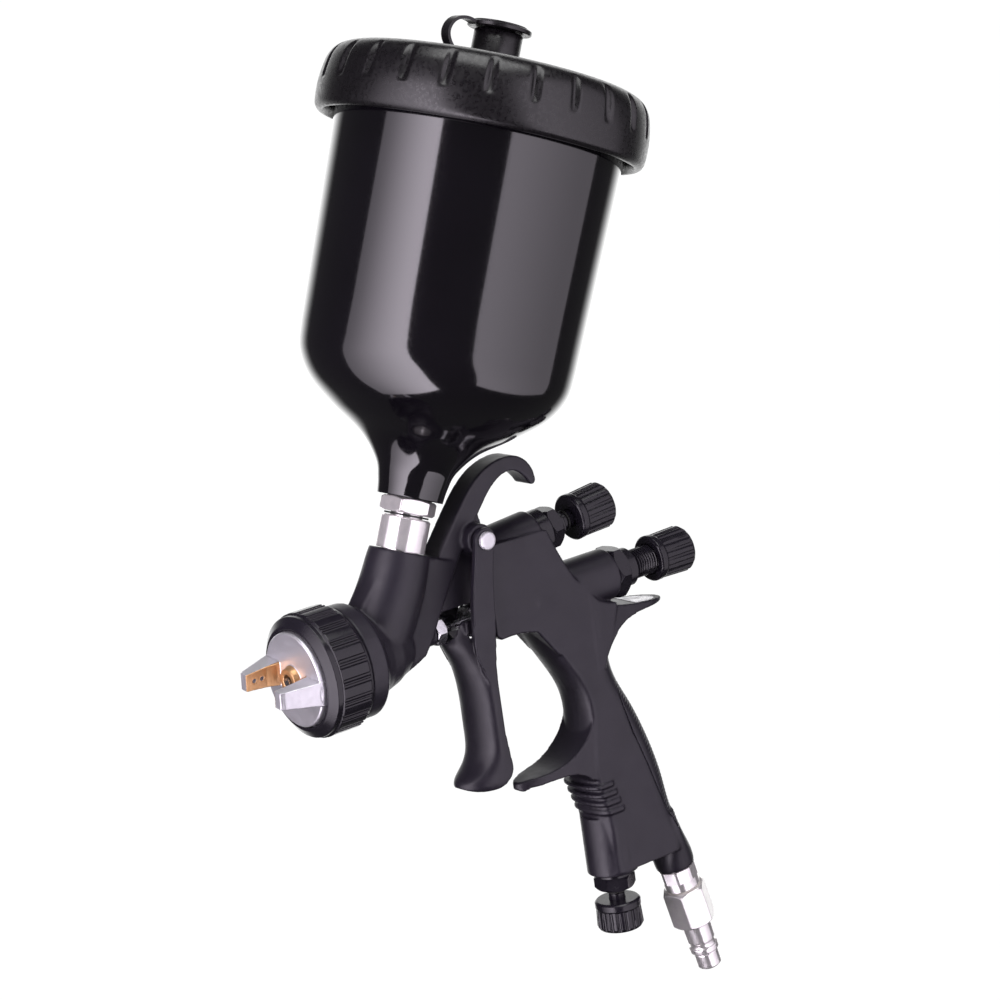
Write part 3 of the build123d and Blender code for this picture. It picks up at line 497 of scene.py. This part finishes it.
def area_light(name, direction, distance, size, power, colour=(1, 1, 1), aim=OBJECT_MIDDLE):
    """Soft box that stands off in a direction and faces the object."""
    light = bpy.data.lights.new(name, "AREA")
    light.shape = "RECTANGLE"
    light.size, light.size_y = size
    light.energy = power
    light.color = colour
    lamp = bpy.data.objects.new(name, light)
    bpy.context.scene.collection.objects.link(lamp)
    away = Vector(direction).normalized()
    lamp.location = aim + away * distance
    lamp.rotation_euler = away.to_track_quat("Z", "Y").to_euler()
    return lamp


def fade_across(lamp, left, right):
    """Let a soft box's brightness run from one share at its left edge to another at its right."""
    lamp.data.use_nodes = True
    tree = lamp.data.node_tree
    glow = next(node for node in tree.nodes if node.type == "EMISSION")
    place = tree.nodes.new("ShaderNodeNewGeometry")
    axes = tree.nodes.new("ShaderNodeSeparateXYZ")
    ramp = tree.nodes.new("ShaderNodeMapRange")
    ramp.interpolation_type = "SMOOTHSTEP"
    ramp.inputs["To Min"].default_value = left
    ramp.inputs["To Max"].default_value = right
    tree.links.new(place.outputs["Parametric"], axes.inputs[0])
    tree.links.new(axes.outputs[0], ramp.inputs["Value"])
    tree.links.new(ramp.outputs[0], glow.inputs["Strength"])


def make_lights():
    left = area_light("left_box", around(181, BOX_RISE), 0.62, (0.70, 1.4), 12, BOX_TINT, CUP_MIDDLE)
    right = area_light("right_box", around(298, BOX_RISE), 0.66, (1.05, 1.4), 8, BOX_TINT, CUP_MIDDLE)
    fade_across(left, 0.3, 1.5)
    fade_across(right, 1.3, 0.45)
    area_light("top_box", (0.1, -0.2, 1.0), 1.2, (0.9, 0.9), 10)


def make_world():
    """Light that is bright behind the object and dim elsewhere. The camera sees an even grey instead."""
    world = bpy.data.worlds.new("studio")
    bpy.context.scene.world = world
    world.use_nodes = True
    tree = world.node_tree
    tree.nodes.clear()
    out = tree.nodes.new("ShaderNodeOutputWorld")
    place = tree.nodes.new("ShaderNodeTexCoord")
    toward = tree.nodes.new("ShaderNodeVectorMath")
    toward.operation = "DOT_PRODUCT"
    toward.inputs[1].default_value = around(54.5, BOX_RISE)
    ramp = tree.nodes.new("ShaderNodeMapRange")
    ramp.interpolation_type = "SMOOTHSTEP"
    ramp.inputs["From Min"].default_value = 0.70
    ramp.inputs["From Max"].default_value = 0.95
    ramp.inputs["To Min"].default_value = 0.07
    ramp.inputs["To Max"].default_value = 2.0
    glow = tree.nodes.new("ShaderNodeBackground")
    backdrop = tree.nodes.new("ShaderNodeBackground")
    backdrop.inputs["Color"].default_value = (BACKDROP_GREY, BACKDROP_GREY, BACKDROP_GREY, 1)
    backdrop.inputs["Strength"].default_value = BACKGROUND_GLOW
    path = tree.nodes.new("ShaderNodeLightPath")
    chooser = tree.nodes.new("ShaderNodeMixShader")
    tree.links.new(place.outputs["Generated"], toward.inputs[0])
    tree.links.new(toward.outputs["Value"], ramp.inputs["Value"])
    tree.links.new(ramp.outputs[0], glow.inputs["Strength"])
    tree.links.new(path.outputs["Is Camera Ray"], chooser.inputs[0])
    tree.links.new(glow.outputs[0], chooser.inputs[1])
    tree.links.new(backdrop.outputs[0], chooser.inputs[2])
    tree.links.new(chooser.outputs[0], out.inputs["Surface"])


def make_camera():
    """Camera that looks down by its drop, turned about Z by its heading and tilted by its roll."""
    camera = bpy.data.cameras.new("camera")
    camera.lens = CAMERA_LENS
    camera.sensor_width = CAMERA_SENSOR
    holder = bpy.data.objects.new("camera", camera)
    bpy.context.scene.collection.objects.link(holder)
    turn = (Matrix.Rotation(CAMERA_HEADING, 4, "Z") @ Matrix.Rotation(math.pi / 2 - CAMERA_DROP, 4, "X")
            @ Matrix.Rotation(CAMERA_ROLL, 4, "Z"))
    holder.matrix_world = Matrix.Translation(CAMERA_PLACE) @ turn
    bpy.context.scene.camera = holder


make_floor()
make_world()
make_lights()
make_camera()
bpy.context.scene.view_settings.view_transform = "Standard"
